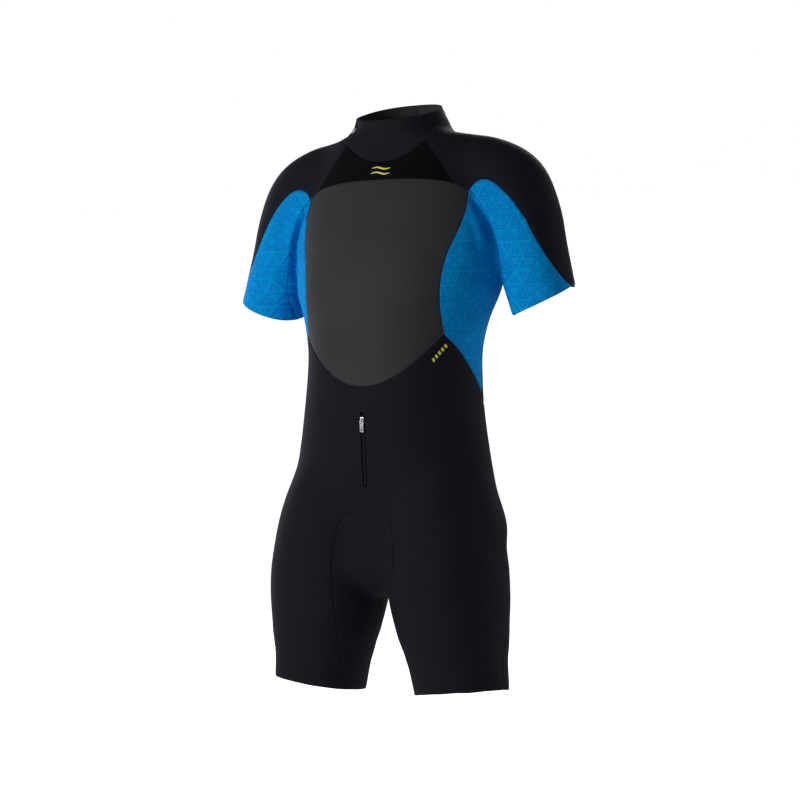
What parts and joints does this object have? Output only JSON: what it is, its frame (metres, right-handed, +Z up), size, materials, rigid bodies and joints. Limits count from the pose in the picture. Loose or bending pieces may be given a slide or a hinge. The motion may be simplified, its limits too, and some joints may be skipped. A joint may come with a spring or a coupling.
{
  "type": "wetsuit",
  "caption": "Short-sleeved, knee-length wetsuit with a zip up the back, a short relief zip at the front and a fastening tab behind the neck.",
  "frame": {"origin": "middle of the neck opening at the base of the collar", "axes": "+Z up, the suit faces -Y, the wearer's left is +X"},
  "size_m": [0.568, 0.239, 0.9282],
  "materials": {
    "neoprene_black": "matte knit face",
    "neoprene_yoke": "matte knit face",
    "neoprene_chest": "smooth coated face, low sheen",
    "neoprene_blue": "knit face with pressed lines",
    "neoprene_flap": "matte knit face",
    "zip_tape": "woven",
    "zip_teeth": "moulded",
    "zip_metal": "bright",
    "loop_fabric": "napped",
    "hook_plastic": "moulded",
    "print_yellow": "printed"
  },
  "bodies": {
    "suit": {"collar_front": "neoprene_black", "collar_back_left": "neoprene_black", "collar_back_right": "neoprene_black", "crotch_gusset": "neoprene_black", "shoulder_panel_left": "neoprene_black", "shoulder_panel_right": "neoprene_black", "front_body_panel": "neoprene_black", "seat_panel": "neoprene_black", "back_panel_left": "neoprene_black", "back_panel_right": "neoprene_black", "collar_tab_anchor": "neoprene_black", "upper_chest_yoke": "neoprene_yoke", "chest_panel": "neoprene_chest", "side_panel_left": "neoprene_blue", "side_panel_right": "neoprene_blue", "underarm_panel_left": "neoprene_blue", "underarm_panel_right": "neoprene_blue", "back_zip_tape_left": "zip_tape", "back_zip_teeth_left": "zip_teeth", "back_zip_top_stop_left": "zip_metal", "back_zip_tape_right": "zip_tape", "back_zip_teeth_right": "zip_teeth", "back_zip_top_stop_right": "zip_metal", "back_zip_bottom_stop": "zip_metal", "back_zip_flap": "neoprene_flap", "relief_zip_tape_left": "zip_tape", "relief_zip_teeth_left": "zip_teeth", "relief_zip_top_stop_left": "zip_metal", "relief_zip_tape_right": "zip_tape", "relief_zip_teeth_right": "zip_teeth", "relief_zip_top_stop_right": "zip_metal", "relief_zip_bottom_stop": "zip_metal", "relief_zip_flap": "neoprene_flap", "collar_loop_patch": "loop_fabric", "chest_mark_upper": "print_yellow", "chest_mark_lower": "print_yellow", "waist_mark": "print_yellow"},
    "back_zip_slider": {"back_zip_slider": "zip_metal"},
    "back_zip_pull": {"back_zip_pull": "zip_metal"},
    "relief_zip_slider": {"relief_zip_slider": "zip_metal"},
    "relief_zip_pull": {"relief_zip_pull": "zip_metal"},
    "collar_tab": {"collar_tab": "neoprene_black", "collar_hook_pad": "hook_plastic"}
  },
  "joints": [
    {"name": "back_zip_slide", "type": "slide", "parent": "suit", "child": "back_zip_slider", "axis": [0, 0, 1], "range_m": [-0.391, 0]},
    {"name": "back_pull_swing", "type": "hinge", "parent": "back_zip_slider", "child": "back_zip_pull", "pos_m": [0, 0.11025, -0.0243], "axis": [1, 0, 0], "range_deg": [0, 140]},
    {"name": "relief_zip_slide", "type": "slide", "parent": "suit", "child": "relief_zip_slider", "axis": [0, -0.0896, 0.996], "range_m": [-0.0895, 0]},
    {"name": "relief_pull_swing", "type": "hinge", "parent": "relief_zip_slider", "child": "relief_zip_pull", "pos_m": [0, -0.11778, -0.4674], "axis": [-1, 0, 0], "range_deg": [0, 140]},
    {"name": "collar_tab_open", "type": "hinge", "parent": "suit", "child": "collar_tab", "pos_m": [0.034, 0.09286, 0.0072], "axis": [0, 0.687, -0.7266], "range_deg": [0, 110]}
  ]
}
